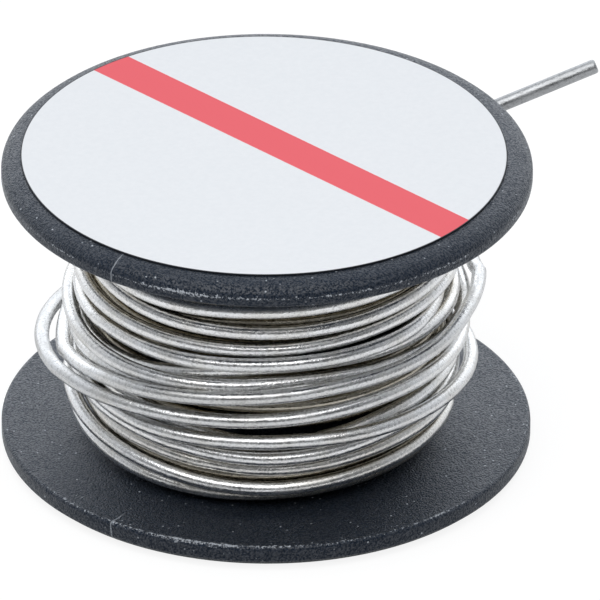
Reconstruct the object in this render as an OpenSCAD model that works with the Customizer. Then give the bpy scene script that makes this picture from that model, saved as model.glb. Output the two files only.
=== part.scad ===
// Small spool of solder wire: a one-piece bobbin, a round face label and a
// loosely wound length of flux-cored wire whose end stands free.
// Millimetres. The Z axis is the bobbin's axis, and z = 0 is the face it stands on.

/* [Bobbin] */
// Diameter of both flanges
flange_d = 35.6; // [32:0.1:60]
// Clear width between the two flanges
winding_w = 18.4; // [12:0.2:30]
// Height of the lower flange's upright rim
lower_rim_h = 1.05; // [0.6:0.05:2.5]
// Height of the upper flange's upright rim
upper_rim_h = 0.9; // [0.6:0.05:2.5]
// Width of the bevel round each flange's outer face
bevel_w = 1.2; // [0.4:0.1:3]
// Height of the bevel round each flange's outer face
bevel_h = 0.7; // [0.3:0.05:1.5]
// Outer diameter of the barrel that the wire is wound on
barrel_d = 22; // [20:0.5:26]
// Wall of the barrel
barrel_wall = 1.5; // [1:0.1:2]
// Diameter of the spindle bore
bore_d = 10; // [6:0.5:11]
// Wall of the spindle tube round the bore
spindle_wall = 1.5; // [1:0.1:2]
// Number of ribs between the spindle tube and the barrel
rib_count = 4; // [3:1:8]
// Thickness of each rib
rib_t = 1.2; // [0.8:0.1:2]
// Distance that the ribs stay back from the lower face
rib_set_back = 1; // [0.5:0.1:1.6]
// Lead-in chamfer at the mouth of the spindle bore
bore_chamfer = 0.4; // [0.2:0.1:0.8]

/* [Label] */
// Bare margin between the label and the flange's edge
label_margin = 1.5; // [1:0.05:4]
// Thickness of the label
label_t = 0.12; // [0.1:0.02:0.5]
// Distance that the label is stuck off centre, to the left
label_off = 0.2; // [0:0.05:0.4]
// Width of the coloured band
band_w = 3; // [1:0.1:8]
// Distance from the bobbin's axis to the near edge of the band
band_off = 0.1; // [0:0.1:4]
// Direction of the band, in degrees from the X axis
band_turn = -44; // [-180:1:180]

/* [Wire] */
// Diameter of the wire
wire_d = 1; // [0.6:0.1:1.4]
// Diameter of the flux core
flux_d = 0.4; // [0.2:0.05:0.5]
// Length of the flux core stub at the cut end
flux_len = 3; // [1:0.5:6]
// Layers of wire under the outer layer
inner_layers = 1; // [1:1:2]
// Least gap between neighbouring outer turns
turn_gap = 0.45; // [0.42:0.01:1]
// Lean of the outer turns: rise at the right, fall at the left
turn_lean = 0.6; // [0:0.1:1]
// Lean of the last, loose turn
loose_lean = 1.9; // [0.6:0.1:2.5]
// Height of the loose turn's middle above the lower flange's inner face
loose_h = 7.5; // [5:0.5:12]
// Running clearance between the wound wire and the bobbin
running_gap = 0.1; // [0.05:0.01:0.1]

/* [Hidden] */
$fn = 96;
eps = 0.01;

plastic = [0.13, 0.14, 0.16];
paper = [0.9, 0.92, 0.94];
red_print = [0.88, 0.3, 0.32];
tin = [0.78, 0.78, 0.77];
rosin = [0.72, 0.5, 0.2];

// Bobbin heights, from the lower face up
flange_r = flange_d / 2;
land_r = flange_r - bevel_w;
low_face_z = bevel_h + lower_rim_h;
up_face_z = low_face_z + winding_w;
land_z = up_face_z + upper_rim_h + bevel_h;
barrel_r = barrel_d / 2;
pocket_r = barrel_r - barrel_wall;
spindle_r = bore_d / 2 + spindle_wall;
label_r = flange_r - label_margin;

// Wound wire: a plain core of inner layers, then one outer layer of tight
// turns from the top down, one that climbs back over them, and a loose one
core_r = barrel_r + running_gap + inner_layers * wire_d;
bed = wire_d / 10;
tight_r = core_r + wire_d / 2 - bed;
loose_shift = [-0.5, 0.4];
loose_r = tight_r + wire_d + turn_gap + norm(loose_shift);
end_gap = 0.3;
stack_h = winding_w - 2 * end_gap - wire_d - 2 * turn_lean;
top_z = up_face_z - end_gap - wire_d / 2 - turn_lean;
pitch_min = wire_d + turn_gap + 0.05;
// Turns that it takes the wire to spread from the tight turns to the loose
// one, to start climbing and to climb; its lean lags behind by some degrees
spread_turns = 0.5;
climb_turns = 0.8;
loose_turns = 2;
lean_lag = 12;
tight_turns = floor(stack_h / pitch_min - spread_turns);
down_turns = tight_turns + spread_turns;
pitch = stack_h / down_turns;
all_turns = tight_turns + loose_turns;
// Bearing at which the last turn ends, from the X axis
end_bearing = 100;
straight_len = 1.5 * wire_d;
ring_count = 24;
turn_sides = 6;

// Free end: its run from the place where it leaves the last turn to its tip
free_run = [23.8, 4, 8.8];
free_sides = 8;
free_step = 2.5;
free_rings = ceil(norm(free_run) / free_step);

function unit(v) = v / norm(v);
function ease(u) = let(c = min(max(u, 0), 1)) c * c * (3 - 2 * c);
function blend(a, b, u) = a + (b - a) * u;

// Point on the outer layer after t turns, clockwise seen from above
function turn_point(t) =
    let(bearing = end_bearing + 360 * (all_turns - t),
        spread = ease((t - tight_turns) / spread_turns),
        climb = ease((t - down_turns) / climb_turns),
        r = blend(tight_r, loose_r, spread),
        lean = blend(turn_lean, loose_lean, climb),
        low = top_z - pitch * min(t, down_turns),
        h = blend(low, low_face_z + loose_h, climb))
    [r * cos(bearing) + climb * loose_shift[0],
     r * sin(bearing) + climb * loose_shift[1],
     h + lean * cos(bearing + lean_lag * climb)];

free_dir = unit(free_run);
turns_last = turn_point(all_turns);
turns_first = turn_point(0);
start_dir = unit(turn_point(0) - turn_point(1 / ring_count));
free_start = turns_last + straight_len * free_dir;
turn_points = [for (i = [0 : all_turns * ring_count]) turn_point(i / ring_count)];
turns_path = concat(
    [turns_first + straight_len * start_dir, turns_first + straight_len / 3 * start_dir],
    turn_points,
    [turns_last + straight_len / 3 * free_dir, free_start]);
free_path = [for (i = [0 : free_rings]) free_start + free_run * i / free_rings];

// Ring of points square to a path at its point i
function run_dir(path, i) = unit(path[min(i + 1, len(path) - 1)] - path[max(i - 1, 0)]);
function ring_points(path, i, r, sides) =
    let(dir = run_dir(path, i), side = unit(cross([0, 0, 1], dir)), rise = cross(dir, side))
    [for (k = [0 : sides - 1]) path[i] + r * (cos(360 * k / sides) * side + sin(360 * k / sides) * rise)];

// Unbroken tube of triangles along a path, closed at both ends
module tube(path, r, sides) {
    n = len(path);
    points = [for (i = [0 : n - 1]) each ring_points(path, i, r, sides)];
    walls = [for (i = [0 : n - 2], k = [0 : sides - 1], half = [0, 1])
        let(a = i * sides + k, b = i * sides + (k + 1) % sides)
        half == 0 ? [a, a + sides, b + sides] : [a, b + sides, b]];
    start_cap = [for (k = [1 : sides - 2]) [0, k, k + 1]];
    end_cap = [for (k = [1 : sides - 2]) [0, k + 1, k] + (n - 1) * sides * [1, 1, 1]];
    polyhedron(points, concat(walls, start_cap, end_cap));
}

// Least gap of the outer turns to themselves, measured on their points
half_turn = ring_count / 2;
last_point = len(turn_points) - 1;
least_gap = min([for (i = [0 : last_point - half_turn], j = [i + half_turn : last_point])
    norm(turn_points[i] - turn_points[j])]) - wire_d;
echo(least_gap = least_gap, turns = all_turns);

// Flange outline: upright rim, bevel and flat outer face, seen in section
module flange_section(inner_r, rim_h) {
    polygon([[inner_r, 0], [flange_r, 0], [flange_r, rim_h], [land_r, rim_h + bevel_h], [inner_r, rim_h + bevel_h]]);
}

module lower_flange() {
    color(plastic) translate([0, 0, low_face_z]) mirror([0, 0, 1])
        rotate_extrude() flange_section(pocket_r, lower_rim_h);
}

module upper_flange() {
    color(plastic) translate([0, 0, up_face_z])
        rotate_extrude() flange_section(spindle_r, upper_rim_h);
}

module ring(outer_r, inner_r, z0, z1) {
    rotate_extrude() translate([inner_r, z0]) square([outer_r - inner_r, z1 - z0]);
}

// Barrel wall between the flanges, joined by ribs to the spindle tube
module hub_barrel() {
    rib_len = pocket_r - spindle_r;
    color(plastic) difference() {
        union() {
            ring(barrel_r, pocket_r, low_face_z, up_face_z);
            ring(spindle_r, bore_d / 2, 0, land_z);
            for (i = [0 : rib_count - 1])
                rotate(45 + 360 * i / rib_count)
                    translate([spindle_r - spindle_wall / 2, -rib_t / 2, low_face_z])
                        cube([rib_len + spindle_wall / 2 + barrel_wall / 2, rib_t, winding_w]);
            intersection() {
                for (i = [0 : rib_count - 1])
                    rotate(45 + 360 * i / rib_count)
                        translate([spindle_r - spindle_wall / 2, -rib_t / 2, rib_set_back])
                            cube([barrel_d, rib_t, low_face_z]);
                ring(pocket_r, spindle_r - spindle_wall / 2, 0, up_face_z);
            }
        }
        translate([0, 0, -eps]) cylinder(h = bore_chamfer + eps, r1 = bore_d / 2 + bore_chamfer + eps, r2 = bore_d / 2);
    }
}

// The coloured band, cut to the label's round outline
module band_outline() {
    intersection() {
        translate([-label_off, 0]) circle(label_r);
        rotate(band_turn) translate([-flange_d, band_off]) square([2 * flange_d, band_w]);
    }
}

module face_label() {
    color(paper) translate([0, 0, land_z]) linear_extrude(label_t)
        difference() {
            translate([-label_off, 0]) circle(label_r);
            band_outline();
        }
    color(red_print) translate([0, 0, land_z]) linear_extrude(label_t) band_outline();
}

module inner_turns() {
    color(tin) ring(core_r, barrel_r + running_gap, low_face_z + running_gap, up_face_z - end_gap);
}

module outer_turns() {
    color(tin) tube(turns_path, wire_d / 2, turn_sides);
}

// Places a child along the free end, with its far face at the cut tip
module at_tip() {
    translate(free_start + free_run)
        rotate([0, acos(free_dir[2]), atan2(free_dir[1], free_dir[0])])
            children();
}

module free_end() {
    color(tin) difference() {
        tube(free_path, wire_d / 2, free_sides);
        at_tip() translate([0, 0, -flux_len]) cylinder(h = flux_len + eps, d = flux_d, $fn = 24);
    }
}

module flux_core() {
    color(rosin) at_tip() translate([0, 0, -flux_len]) cylinder(h = flux_len, d = flux_d, $fn = 24);
}

lower_flange();
hub_barrel();
upper_flange();
face_label();
inner_turns();
outer_turns();
free_end();
flux_core();
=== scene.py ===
import math

import bpy
import numpy as np
from mathutils import Matrix, Vector


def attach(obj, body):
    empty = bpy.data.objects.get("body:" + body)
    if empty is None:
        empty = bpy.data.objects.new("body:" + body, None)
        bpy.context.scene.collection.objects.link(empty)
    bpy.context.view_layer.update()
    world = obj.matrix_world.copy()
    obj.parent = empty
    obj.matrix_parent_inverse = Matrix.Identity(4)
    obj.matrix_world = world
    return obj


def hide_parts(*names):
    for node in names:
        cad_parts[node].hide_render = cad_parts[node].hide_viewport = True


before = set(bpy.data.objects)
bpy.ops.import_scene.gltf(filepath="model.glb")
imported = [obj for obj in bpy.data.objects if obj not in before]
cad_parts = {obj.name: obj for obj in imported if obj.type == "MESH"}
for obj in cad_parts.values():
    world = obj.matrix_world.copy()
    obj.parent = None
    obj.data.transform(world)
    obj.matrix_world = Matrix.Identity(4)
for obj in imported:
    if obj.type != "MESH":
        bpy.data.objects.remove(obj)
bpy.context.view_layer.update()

# ---------------------------------------------------------------- camera
# It looks down at the spool's front by 30 degrees, from far enough away that
# the round flanges show hardly any perspective.
inner_face_z = 0.00175
sight_fall = math.radians(29.96)
sight_roll = math.radians(0.27)
sight_range = 1.6
aim_right, aim_up = 0.0022548, 0.007747
focal_length = 1426.3

inner_face = Vector((0, 0, inner_face_z))
right = Vector((1, 0, 0))
up = Vector((0, math.sin(sight_fall), math.cos(sight_fall)))
aim = inner_face + aim_right * right + aim_up * up
stand = inner_face + sight_range * Vector((0, -math.cos(sight_fall), math.sin(sight_fall)))
unrolled = (aim - stand).to_track_quat("-Z", "Y").to_matrix()

bpy.ops.object.camera_add(location=stand)
camera = bpy.context.object
camera.name = "camera"
camera.rotation_euler = (unrolled @ Matrix.Rotation(sight_roll, 3, "Z")).to_euler()
camera.data.sensor_width = 36
camera.data.lens = focal_length
camera.data.clip_end = 20
bpy.context.scene.camera = camera

# ---------------------------------------------------------- solder wire
# One unbroken length of 1 mm flux-cored tin wire, about 2 m or 10 g. It is wound by
# machine in one layer up the barrel and one back down, and its last three turns have
# sprung loose and climb back over the rest. The end stands free.

# The winding is worked out in mm, from the lower flange's inner face: the wire, the
# barrel with its clearance, and the width between the flanges.
wire_d = 1.0
barrel_r = 11.05
clear_w = 18.4
unsprung_r = 11.5
points_per_turn = 90

# Heights of each turn's middle at its right, front right, front, front left and left.
# A second list gives the radii that a loosened turn has sprung out to at the same places.
turns = [
    [(2.9, 2.6, 2.05, 2.0, 2.2)],
    [(4.2, 4.2, 4.3, 4.4, 5.0)],
    [(6.0, 6.1, 6.2, 6.2, 6.5)],
    [(7.2, 7.3, 7.4, 7.3, 7.5)],
    [(8.8, 9.2, 9.5, 8.8, 8.6)],
    [(9.9, 10.3, 10.6, 10.7, 11.1)],
    [(12.7, 12.5, 12.0, 11.9, 12.3)],
    [(13.7, 13.6, 13.7, 13.3, 13.5)],
    [(15.0, 15.0, 15.0, 15.1, 15.3)],
    [(16.3, 16.3, 16.3, 16.4, 16.6)],
    [(15.4, 15.3, 15.15, 14.9, 16.4)],
    [(14.1, 13.8, 13.55, 13.8, 15.4)],
    [(13.0, 12.7, 12.2, 12.1, 12.3)],
    [(10.3, 10.7, 10.9, 9.1, 8.8)],
    [(11.6, 11.65, 11.5, 10.85, 10.6)],
    [(9.2, 9.5, 9.85, 9.35, 9.6), (13.3, 12.7, 11.5, 11.5, 11.5)],
    [(8.2, 8.4, 8.58, 8.0, 7.8)],
    [(6.0, 5.7, 4.9, 6.4, 6.75)],
    [(4.6, 4.5, 4.0, 4.3, 4.32)],
    [(3.4, 3.3, 2.85, 3.2, 3.15), (11.5, 11.5, 11.5, 12.2, 11.6)],
    [(1.0, 1.0, 0.75, 1.1, 1.9), (11.5, 11.5, 11.5, 12.4, 12.8)],
    [(1.9, 1.9, 1.55, 2.12, 2.92), (11.8, 11.5, 11.5, 12.2, 12.5)],
    [(4.9, 5.3, 5.6, 5.35, 5.3), (13.75, 13.2, 12.5, 12.5, 12.5)],
    [(10.2, 9.8, 9.55, 8.3, 6.15), (13.8, 13.6, 13.3, 13.0, 13.0)],
    [(7.1, 7.7, 7.4, 6.95, 6.2), (12.5, 13.2, 13.5, 14.0, 15.1)],
]

# Where the wire leaves the winding, and the way and length of its free end.
leave = np.array([-3.03, 15.20, 6.54])
leave_dir = np.array([0.9231, 0.1551, 0.3520])
tail_len = 27.4


def along_turns(rows):
    """Places along the wire, in turns, and a value at each: a row's five values come
    round the turn's front, and its back runs on to the next row."""
    at, value = [], []
    for turn, row in enumerate(rows):
        following = rows[turn + 1][0] if turn + 1 < len(rows) else row[4]
        for eighth in range(8 if turn + 1 < len(rows) else 5):
            back = max(0, eighth - 4) / 4
            ease = back * back * (2 - back)
            at.append(turn + eighth / 8)
            value.append(row[min(eighth, 4)] * (1 - ease) + following * ease)
    return np.array(at), np.array(value)


def smooth_through(at, value, wanted):
    """A curve through all values, without corners."""
    slope = np.gradient(value, at)
    i = np.clip(np.searchsorted(at, wanted, side="right") - 1, 0, len(at) - 2)
    gap = at[i + 1] - at[i]
    u = (wanted - at[i]) / gap
    ahead, behind = 3 * u**2 - 2 * u**3, 1 - 3 * u**2 + 2 * u**3
    lean = u * (1 - u) ** 2 * slope[i] - u**2 * (1 - u) * slope[i + 1]
    return behind * value[i] + ahead * value[i + 1] + gap * lean


def bedded(i, laid, r, z):
    """The least radius at which place i lies on the barrel and on the turns already laid."""
    under = np.arange(i % points_per_turn, laid, points_per_turn)
    rise = z[i] - z[under]
    near = np.abs(rise) < wire_d
    return max([barrel_r + wire_d / 2, *(r[under][near] + np.sqrt(wire_d**2 - rise[near] ** 2))])


def lay_turns():
    """Lays the wire a quarter turn at a time on what lies below it. Gives its middle line in mm."""
    at, height = along_turns([turn[0] for turn in turns])
    reach_at, reach = along_turns([turn[1] if len(turn) > 1 else (unsprung_r,) * 5 for turn in turns])
    count = round(at[-1] * points_per_turn) + 1
    place = np.arange(count) / points_per_turn
    z = np.clip(smooth_through(at, height, place), wire_d / 2, clear_w - wire_d / 2)
    sprung = np.interp(place, reach_at, reach)
    r = np.zeros(count)
    stretch, ease = points_per_turn // 4, 3
    even = np.ones(2 * ease + 1) / (2 * ease + 1)
    for start in range(0, count, stretch):
        first, last = max(0, start - 2 * ease), min(count, start + stretch + 2 * ease)
        bed = np.array([r[i] if i < start else bedded(i, start, r, z) for i in range(first, last)])
        bed = np.maximum(bed, sprung[first:last])
        crest = [bed[max(0, k - ease):k + ease + 1].max() for k in range(len(bed))]
        eased = np.convolve(np.pad(crest, ease, mode="edge"), even, mode="valid")
        end = min(count, start + stretch)
        r[start:end] = eased[start - first:end - first]
    bearing = -2 * np.pi * place
    return np.stack([r * np.cos(bearing), r * np.sin(bearing), z], axis=1)


def lift_off(wound):
    """The stretch behind the spool, from the loosest turn's left to where the wire leaves."""
    (x, y, z), count = wound[-1], 24
    r0, r1 = math.hypot(x, y), math.hypot(leave[0], leave[1])
    swing = math.pi - math.atan2(leave[1], leave[0])
    climb0 = (wound[-1, 2] - wound[-3, 2]) / 2 * points_per_turn / (2 * math.pi) * swing
    climb1 = leave_dir[2] / math.hypot(leave_dir[0], leave_dir[1]) * r1 * swing
    points = []
    for u in np.arange(1, count + 1) / count:
        ease = u * u * (3 - 2 * u)
        bearing, r = math.pi - swing * u, r0 * (1 - ease) + r1 * ease
        h = z * (1 - ease) + leave[2] * ease + u * (1 - u) ** 2 * climb0 - u * u * (1 - u) * climb1
        points.append((r * math.cos(bearing), r * math.sin(bearing), h))
    return np.array(points)


def only(piece):
    """Selects one piece alone, as the active one."""
    bpy.ops.object.select_all(action="DESELECT")
    piece.select_set(True)
    bpy.context.view_layer.objects.active = piece


# The free end has a point every millimetre, and its cut tip is drawn in over the last ones.
tip_points = (tail_len - 0.22, tail_len - 0.1, tail_len - 0.03, tail_len)
tip_widths = {-3: 0.95, -2: 0.85, -1: 0.7}

wound = lay_turns()
tail = [leave + leave_dir * s for s in (*np.arange(1, 27), *tip_points)]
wire_line = np.concatenate([wound, lift_off(wound), tail]) / 1000 + (0, 0, inner_face_z)

wire_curve = bpy.data.curves.new("solder_wire", "CURVE")
wire_curve.dimensions = "3D"
wire_curve.twist_mode = "Z_UP"
wire_curve.bevel_depth = wire_d / 2000
wire_curve.bevel_resolution = 6
spline = wire_curve.splines.new("POLY")
spline.points.add(len(wire_line) - 1)
spline.points.foreach_set("co", np.column_stack([wire_line, np.ones(len(wire_line))]).ravel())
for point, width in tip_widths.items():
    spline.points[point].radius = width
spline.use_smooth = True
wire = bpy.data.objects.new("solder_wire", wire_curve)
bpy.context.collection.objects.link(wire)
only(wire)
bpy.ops.object.convert(target="MESH")

# The flux shows in the cut end, so the wire is hollow there as far as the core's stub goes.
wall = 0.000145
hollow = 0.003
bpy.ops.object.mode_set(mode="EDIT")
bpy.ops.mesh.select_mode(type="FACE")
bpy.ops.mesh.select_all(action="SELECT")
bpy.ops.mesh.fill_holes(sides=0)
bpy.ops.mesh.select_all(action="DESELECT")
bpy.ops.object.mode_set(mode="OBJECT")
tip = Vector(wire_line[-1])
ends = [face for face in wire.data.polygons if len(face.vertices) > 4]
min(ends, key=lambda face: (face.center - tip).length).select = True
bpy.ops.object.mode_set(mode="EDIT")
bpy.ops.mesh.inset(thickness=wall)
bpy.ops.mesh.extrude_region_move(TRANSFORM_OT_translate={"value": tuple(-hollow * leave_dir)})
bpy.ops.object.mode_set(mode="OBJECT")
bpy.ops.object.shade_smooth_by_angle(angle=math.radians(50))


def material(name):
    """A new material, its shader, and the function that adds nodes to it."""
    new = bpy.data.materials.new(name)
    new.use_nodes = True
    return new, new.node_tree.nodes["Principled BSDF"], node_maker(new.node_tree)


def node_maker(tree):
    """A function that adds a node to a tree, with its values set and its inputs joined."""
    def add(kind, inputs=None, **settings):
        node = tree.nodes.new("ShaderNode" + kind)
        for key, value in settings.items():
            setattr(node, key, value)
        for key, value in (inputs or {}).items():
            join(value, node.inputs[key])
        return node
    return add


def join(value, socket):
    """Sets a socket to a value, or links it to an output, or to a node's first output in use."""
    if isinstance(value, bpy.types.Node):
        value = next(output for output in value.outputs if output.enabled)
    if isinstance(value, bpy.types.NodeSocket):
        socket.id_data.links.new(value, socket)
    elif socket.type == "RGBA":
        socket.default_value = (*value, 1)
    else:
        socket.default_value = value


def noise(add, place, scale, detail, roughness=0.5):
    return add("TexNoise", {"Vector": place, "Scale": scale, "Detail": detail, "Roughness": roughness})


def ramp(add, value, start, end, low=0.0, high=1.0):
    """Turns a value's span from start to end into one from low to high, and holds it beyond."""
    return add("MapRange", {"Value": value, "From Min": start, "From Max": end,
                            "To Min": low, "To Max": high})


def mix(add, share, first, second, **settings):
    """Mixes two colours, the second by its share."""
    return add("Mix", {"Factor": share, "A": first, "B": second}, data_type="RGBA", **settings)


def calc(add, operation, *terms):
    return add("Math", dict(enumerate(terms)), operation=operation)


def off_axis(add, place):
    """How far a place is from the spool's axis."""
    flat = add("VectorMath", {0: place, 1: (1, 1, 0)}, operation="MULTIPLY")
    return add("VectorMath", {0: flat}, operation="LENGTH")


def dress(piece, finish, shader, looks):
    """Sets or joins a shader's sockets, and gives its material to a piece."""
    for name, value in looks.items():
        join(value, shader.inputs[name])
    piece.data.materials.clear()
    piece.data.materials.append(finish)


# Bright drawn tin with long dull streaks and fine pits. Far inside the winding it is darker
# and browner, partly tarnished and partly painted shade between the turns. The outermost
# turns and the free end are greyer, partly rubbed dull by handling and partly painted shade
# that tones down their reflection.
bright_tin, aged_tin = (0.93, 0.935, 0.94), (0.84, 0.825, 0.79)
# Both colours also carry painted shade: the browned one far inside, the grey one outermost.
tarnish_and_shade_tin, rubbed_and_shaded_tin = (0.42, 0.375, 0.28), (0.44, 0.45, 0.46)

tin, shader, add = material("solder_wire")
spot = add("TexCoord").outputs["Object"]
run = add("Mapping", {"Vector": add("UVMap", uv_map="UVMap"), "Scale": (900, 9, 1)})
streaks = noise(add, run, 1.0, 4, 0.6)
pits = noise(add, spot, 5200, 3, 0.65)
patch = noise(add, spot, 420, 3)
stain = ramp(add, patch, 0.42, 0.72)
depth = off_axis(add, spot)
# Painted shade: the wire darkens and browns towards the barrel, partly as tarnished tin.
inner_tarnish_and_shade = ramp(add, depth, 0.0130, 0.0117)
# Painted shade: the wire greys farther from the axis, on the outermost turns and free end, partly as rubbed
# tin.
handled_and_shaded = ramp(add, depth, 0.0131, 0.0175)
hue = mix(add, stain, bright_tin, aged_tin)
tarnished_and_shaded = mix(add, inner_tarnish_and_shade, hue, tarnish_and_shade_tin)
scuffed_and_shaded = mix(add, handled_and_shaded, tarnished_and_shaded, rubbed_and_shaded_tin)
pitted = ramp(add, pits, 0.34, 0.5, 0.72, 1.0)
shade = mix(add, 1.0, scuffed_and_shaded, pitted, blend_type="MULTIPLY")
dull = ramp(add, streaks, 0.36, 0.64, 0.07, 0.32)
worn_dull = calc(add, "MULTIPLY_ADD", handled_and_shaded, 0.12, dull)
rough = calc(add, "MULTIPLY_ADD", pits, 0.1, worn_dull)
relief = calc(add, "MULTIPLY_ADD", streaks, 0.5, pits)
bump = add("Bump", {"Height": relief, "Strength": 0.6, "Distance": 0.00004})
dress(wire, tin, shader, {"Base Color": shade, "Roughness": rough, "Normal": bump, "Metallic": 1.0})

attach(wire, "winding")
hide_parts("inner_turns", "outer_turns", "free_end")

# ------------------------------------------------------------ flux core
# Rosin flux runs all along the inside of the wire and shows only at the cut end, where
# it stands a hair behind the metal with a rounded edge.
core_r, core_len, core_back = 0.0002, 0.00294, 0.0015
dark_amber, light_amber = (0.42, 0.20, 0.05), (0.62, 0.36, 0.12)


def apply(piece, kind, **settings):
    """Gives a piece a modifier and applies it."""
    only(piece)
    modifier = piece.modifiers.new(kind.lower(), kind)
    for key, value in settings.items():
        setattr(modifier, key, value)
    bpy.ops.object.modifier_apply(modifier=modifier.name)


bpy.ops.object.select_all(action="DESELECT")
bpy.ops.mesh.primitive_cylinder_add(vertices=32, radius=core_r, depth=core_len)
core = bpy.context.object
core.name = core.data.name = "flux_end"
core.location = tip - Vector(leave_dir) * core_back
core.rotation_euler = Vector(leave_dir).to_track_quat("Z", "Y").to_euler()
bpy.ops.object.transform_apply(location=True, rotation=True, scale=False)
apply(core, "BEVEL", width=0.00004, segments=3, limit_method="ANGLE", angle_limit=math.radians(40))
bpy.ops.object.shade_smooth_by_angle(angle=math.radians(40))

rosin, shader, add = material("rosin_flux")
spot = add("TexCoord").outputs["Object"]
resin = noise(add, spot, 7000, 3)
amber = mix(add, resin, dark_amber, light_amber)
bump = add("Bump", {"Height": resin, "Strength": 0.4, "Distance": 0.00002})
dress(core, rosin, shader, {"Base Color": amber, "Roughness": 0.22, "Normal": bump})

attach(core, "winding")
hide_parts("flux_core")

# --------------------------------------------------------------- bobbin
# One injection-moulded piece in black styrene: two flanges with bevelled rims, the
# barrel between them, and inside it a spindle tube held by four ribs. The mould's
# spark-eroded grain is on every face, and the flanges' edges carry a pale chipped line,
# partly wear and partly a painted highlight.
bore_r, lead_r, lead_h = 0.005, 0.0054, 0.0004
tube_r, hub_inner_r, hub_r = 0.0065, 0.0095, 0.011
land_r, slope_r, flange_r = 0.0166, 0.0173, 0.0178
slope_low, rim_low = 0.00027, 0.0007
top_face_z, rim_high, slope_high, land_z = 0.02015, 0.02105, 0.02148, 0.02175
rib_size, rib_middle = (0.0034, 0.0012, 0.01935), (0.008, 0, 0.010675)
outline = [
    (lead_r, 0), (bore_r, lead_h), (bore_r, land_z), (land_r, land_z), (slope_r, slope_high),
    (flange_r, rim_high), (flange_r, top_face_z), (hub_r, top_face_z), (hub_r, inner_face_z),
    (flange_r, inner_face_z), (flange_r, rim_low), (slope_r, slope_low), (land_r, 0),
    (hub_inner_r, 0), (hub_inner_r, top_face_z), (tube_r, top_face_z), (tube_r, 0),
]

profile = bpy.data.meshes.new("bobbin")
corners = [(r, 0, z) for r, z in outline]
profile.from_pydata(corners, [(i, (i + 1) % len(corners)) for i in range(len(corners))], [])
bobbin = bpy.data.objects.new("bobbin", profile)
bpy.context.collection.objects.link(bobbin)
only(bobbin)
bpy.ops.object.mode_set(mode="EDIT")
bpy.ops.mesh.select_mode(type="EDGE")
bpy.ops.mesh.select_all(action="SELECT")
bpy.ops.mesh.spin(steps=144, angle=2 * math.pi, center=(0, 0, 0), axis=(0, 0, 1))
bpy.ops.mesh.select_all(action="SELECT")
bpy.ops.mesh.remove_doubles(threshold=0.000001)
bpy.ops.mesh.normals_make_consistent(inside=False)
bpy.ops.mesh.select_all(action="DESELECT")
bpy.ops.object.mode_set(mode="OBJECT")

# The rims' upper edges are rounder than the mould's other edges.
for edge in bobbin.data.edges:
    a, b = (bobbin.data.vertices[i].co for i in edge.vertices)
    on_rim = min(math.hypot(a.x, a.y), math.hypot(b.x, b.y)) > flange_r - 0.0001
    edge.select = on_rim and a.z > 0.001 and abs(a.z - b.z) < 1e-6
bpy.ops.object.mode_set(mode="EDIT")
bpy.ops.mesh.bevel(offset=0.00025, segments=4)
bpy.ops.object.mode_set(mode="OBJECT")
apply(bobbin, "BEVEL", width=0.00009, segments=2, limit_method="ANGLE", angle_limit=math.radians(25))

bpy.ops.object.select_all(action="DESELECT")
ribs = []
for quarter in range(4):
    bpy.ops.mesh.primitive_cube_add(size=1)
    rib = bpy.context.object
    rib.scale = rib_size
    rib.location = rib_middle
    bpy.ops.object.transform_apply(location=True, rotation=False, scale=True)
    rib.rotation_euler.z = math.radians(45 + 90 * quarter)
    bpy.ops.object.transform_apply(location=False, rotation=True, scale=False)
    ribs.append(rib)
for rib in ribs:
    apply(bobbin, "BOOLEAN", operation="UNION", object=rib, solver="EXACT")
    bpy.data.meshes.remove(rib.data)
only(bobbin)
bpy.ops.object.shade_smooth_by_angle(angle=math.radians(30))

# A chipped pale line round the bobbin, at a radius and a height: partly wear and partly
# a painted edge highlight. Breaks says how much of the line is spared.
edge_wear_glint = bpy.data.node_groups.new("edge_wear_glint", "ShaderNodeTree")
for name in ("Radius", "Height", "Width", "Breaks"):
    edge_wear_glint.interface.new_socket(name, in_out="INPUT", socket_type="NodeSocketFloat")
edge_wear_glint.interface.new_socket("Wear_glint", in_out="OUTPUT", socket_type="NodeSocketFloat")
add = node_maker(edge_wear_glint)
given = edge_wear_glint.nodes.new("NodeGroupInput").outputs
gives = edge_wear_glint.nodes.new("NodeGroupOutput").inputs
spot = add("TexCoord").outputs["Object"]
height = add("SeparateXYZ", {0: spot}).outputs["Z"]
off_r = calc(add, "SUBTRACT", off_axis(add, spot), given["Radius"])
off_z = calc(add, "SUBTRACT", height, given["Height"])
square_r = calc(add, "MULTIPLY", off_r, off_r)
square = calc(add, "MULTIPLY_ADD", off_z, off_z, square_r)
away = calc(add, "SQRT", square)
chips = noise(add, spot, 6000, 3, 0.75)
grainy = calc(add, "MULTIPLY", chips, 5.0)
near = calc(add, "DIVIDE", away, given["Width"])
whole = calc(add, "SUBTRACT", grainy, near)
chipped = calc(add, "SUBTRACT", whole, given["Breaks"])
join(ramp(add, chipped, 0.0, 0.5), gives["Wear_glint"])

# Pale chipped lines on the upper rim and lower inner edge, strongest at the front: wear plus painted
# highlight.
# The pale grey is partly wear and partly a painted edge highlight.
black, dark_grey, wear_glint_grey = (0.001, 0.0015, 0.002), (0.013, 0.015, 0.020), (0.50, 0.53, 0.57)
styrene, shader, add = material("bobbin_plastic")
spot = add("TexCoord").outputs["Object"]
pattern = noise(add, spot, 7000, 2, 0.6)
swell = noise(add, spot, 1900, 1)
cloud = noise(add, spot, 500, 3)
stretch = noise(add, spot, 140, 2)
breaks = ramp(add, stretch, 0.38, 0.62, 1.9, 2.6)
to_back = add("SeparateXYZ", {0: spot}).outputs["Y"]
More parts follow.
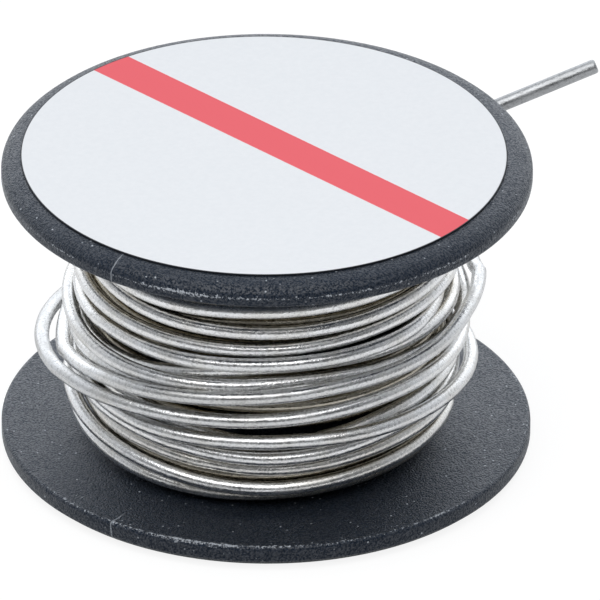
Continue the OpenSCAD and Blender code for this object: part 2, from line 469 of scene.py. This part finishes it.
# Painted highlight: the line is spared away from the front, where it shows as an edge glint.
sides = ramp(add, to_back, -0.0165, -0.010, 0.0, 0.6)
spared = calc(add, "ADD", breaks, sides)
rim_wear_glint = add("Group", {"Radius": flange_r, "Height": rim_high - 0.0002, "Width": 0.00018,
                         "Breaks": spared}, node_tree=edge_wear_glint)
inner_wear_glint = add("Group", {"Radius": flange_r - 0.00022, "Height": inner_face_z, "Width": 0.00024,
                           "Breaks": spared}, node_tree=edge_wear_glint)
wear_glint = calc(add, "MAXIMUM", rim_wear_glint, inner_wear_glint)

# The mould's parting line shows as one fine line across both flanges' rims.
parting_turn, parting_aside = math.radians(-234.5), 0.0003
turned = add("Mapping", {"Vector": spot, "Rotation": (0, 0, parting_turn)})
spoke = add("SeparateXYZ", {0: turned}).outputs
aside = calc(add, "MULTIPLY_ADD", cloud, 0.0006, spoke["Y"])
off_line = calc(add, "SUBTRACT", aside, parting_aside)
distant = calc(add, "ABSOLUTE", off_line)
on_line = ramp(add, distant, 0.00002, 0.00006, 1.0, 0.0)
outside = ramp(add, spoke["X"], 0.0162, 0.0168)
parting = calc(add, "MULTIPLY", on_line, outside)

# Specks of dust and small chips.
speck = add("TexVoronoi", {"Vector": spot, "Scale": 1900}).outputs
small = ramp(add, speck["Distance"], 0.08, 0.16, 1.0, 0.0)
few = add("SeparateXYZ", {0: speck["Color"]}).outputs["X"]
chosen = ramp(add, few, 0.45, 0.9, 0.0, 0.9)
dust = calc(add, "MULTIPLY", small, chosen)

wear_glint_and_dust = calc(add, "MAXIMUM", wear_glint, dust)
faint = calc(add, "MULTIPLY", parting, 0.55)
marks_and_glint = calc(add, "MAXIMUM", wear_glint_and_dust, faint)
grey = ramp(add, pattern, 0.45, 0.68)
skin = mix(add, grey, black, dark_grey)
tone = mix(add, marks_and_glint, skin, wear_glint_grey)
shine = ramp(add, pattern, 0.4, 0.6, 0.0, 0.8)
matt = ramp(add, cloud, 0.3, 0.7, 0.2, 0.3)
rough = calc(add, "MULTIPLY_ADD", pattern, 0.2, matt)
relief = calc(add, "MULTIPLY_ADD", swell, 0.35, pattern)
bump = add("Bump", {"Height": relief, "Strength": 1.0, "Distance": 0.00015})
dress(bobbin, styrene, shader, {
    "Base Color": tone, "Roughness": rough, "Normal": bump,
    "Specular IOR Level": 0.42, "Specular Tint": (0.42, 0.62, 1.0),
    "Coat Weight": shine, "Coat Roughness": 0.38, "Coat IOR": 1.6,
    "Sheen Weight": 0.06, "Sheen Roughness": 0.35, "Sheen Tint": (0.55, 0.8, 1.0),
})

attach(bobbin, "bobbin")
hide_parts("lower_flange", "hub_barrel", "upper_flange")

# ----------------------------------------------------------- face label
# A round self-adhesive paper label, stuck on the upper flange a little off centre. It
# is bare white paper with a printed red band straight across.
label_r, label_x, label_t = 0.0163, -0.0002, 0.00012
band_turn, band_near, band_far = math.radians(-44.2), 0.00008, 0.00306
# The label's thin dark rim is painted shadow of the gap round its edge.
ink_fade, edge_shadow_start, edge_shadow_end = 0.00005, label_r - 0.00010, label_r - 0.00006
grey_paper, white_paper = (0.73, 0.75, 0.775), (0.80, 0.815, 0.835)
red_ink, edge_shadow = (0.79, 0.105, 0.128), (0.02, 0.022, 0.028)

bpy.ops.object.select_all(action="DESELECT")
bpy.ops.mesh.primitive_circle_add(vertices=180, radius=label_r, fill_type="NGON",
                                  location=(label_x, 0, land_z))
label = bpy.context.object
label.name = label.data.name = "round_label"
bpy.ops.object.transform_apply(location=True, rotation=False, scale=False)
bpy.ops.object.mode_set(mode="EDIT")
bpy.ops.mesh.select_all(action="SELECT")
bpy.ops.mesh.extrude_region_move(TRANSFORM_OT_translate={"value": (0, 0, label_t)})
bpy.ops.mesh.select_all(action="SELECT")
bpy.ops.mesh.normals_make_consistent(inside=False)
bpy.ops.object.mode_set(mode="OBJECT")
apply(label, "BEVEL", width=0.00003, segments=2, limit_method="ANGLE", angle_limit=math.radians(40))
bpy.ops.object.shade_smooth_by_angle(angle=math.radians(20))

paper, shader, add = material("label_paper")
spot = add("TexCoord").outputs["Object"]
across = add("Mapping", {"Vector": spot, "Rotation": (0, 0, -band_turn)})
side = add("SeparateXYZ", {0: across}).outputs["Y"]
ink_edge = noise(add, spot, 9000, 2)
waver = calc(add, "MULTIPLY_ADD", ink_edge, 0.00004, side)
inside = ramp(add, waver, band_near, band_near + ink_fade)
beyond = ramp(add, waver, band_far, band_far + ink_fade, 1.0, 0.0)
band = calc(add, "MULTIPLY", inside, beyond)
fibre = noise(add, spot, 2500, 4, 0.6)
white = mix(add, fibre, grey_paper, white_paper)
printed = mix(add, band, white, red_ink)
centred = add("Mapping", {"Vector": spot, "Location": (-label_x, 0, 0), "Scale": (1, 1, 0)})
out = add("VectorMath", {0: centred}, operation="LENGTH")
# Painted shadow: a thin dark ring just inside the label's edge.
face = mix(add, ramp(add, out, edge_shadow_start, edge_shadow_end), printed, edge_shadow)
bump = add("Bump", {"Height": fibre, "Strength": 0.2, "Distance": 0.00002})
dress(label, paper, shader, {"Base Color": face, "Roughness": 0.5, "Specular IOR Level": 0.2, "Normal": bump})

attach(label, "bobbin")
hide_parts("face_label")

# ------------------------------------------------------- floor and light
# A white floor under one large soft lamp, high up and a little in front. The room is dark
# in front and bright behind, and the floor shows white and keeps a soft shadow.
bpy.ops.object.select_all(action="DESELECT")
bpy.ops.mesh.primitive_plane_add(size=8, location=(0, 0, 0))
floor = bpy.context.object
floor.name = "floor"
ground, shader, add = material("floor")
surface = ground.node_tree.nodes["Material Output"].inputs["Surface"]
ground.node_tree.nodes.remove(shader)
seen = add("LightPath").outputs
lit = add("BsdfDiffuse", {"Color": (0.78, 0.78, 0.78)})
glow = add("Emission", {"Color": (1, 1, 1), "Strength": 1.12})
mirrored = calc(add, "MULTIPLY", seen["Is Glossy Ray"], 0.12)
share = calc(add, "MULTIPLY_ADD", seen["Is Camera Ray"], 0.78, mirrored)
join(add("MixShader", {0: share, 1: lit, 2: glow}), surface)
floor.data.materials.append(ground)

lamp_place, lit_place = Vector((-0.1, -0.35, 0.85)), Vector((0, 0, 0.01))
bpy.ops.object.light_add(type="AREA", location=lamp_place)
lamp = bpy.context.object
lamp.name = "top_lamp"
lamp.rotation_euler = (lit_place - lamp_place).to_track_quat("-Z", "Y").to_euler()
lamp.data.shape = "RECTANGLE"
lamp.data.size, lamp.data.size_y = 1.1, 0.9
lamp.data.energy = 6.25

room = bpy.data.worlds.new("room")
bpy.context.scene.world = room
room.use_nodes = True
add = node_maker(room.node_tree)
facing = add("SeparateXYZ", {0: add("TexCoord").outputs["Generated"]}).outputs
level = ramp(add, facing["Y"], -0.6, 0.5, 0.14, 0.8)
behind = ramp(add, facing["Y"], 0.45, 0.85, 0.0, 0.9)
lowest = ramp(add, facing["Z"], 0.55, 0.75, 1.0, 0.0)
strip = calc(add, "MULTIPLY", behind, lowest)
total = calc(add, "ADD", level, strip)
sky = room.node_tree.nodes["Background"].inputs
join((0.93, 0.96, 1.0), sky["Color"])
join(total, sky["Strength"])
bpy.context.scene.view_settings.view_transform = "Standard"
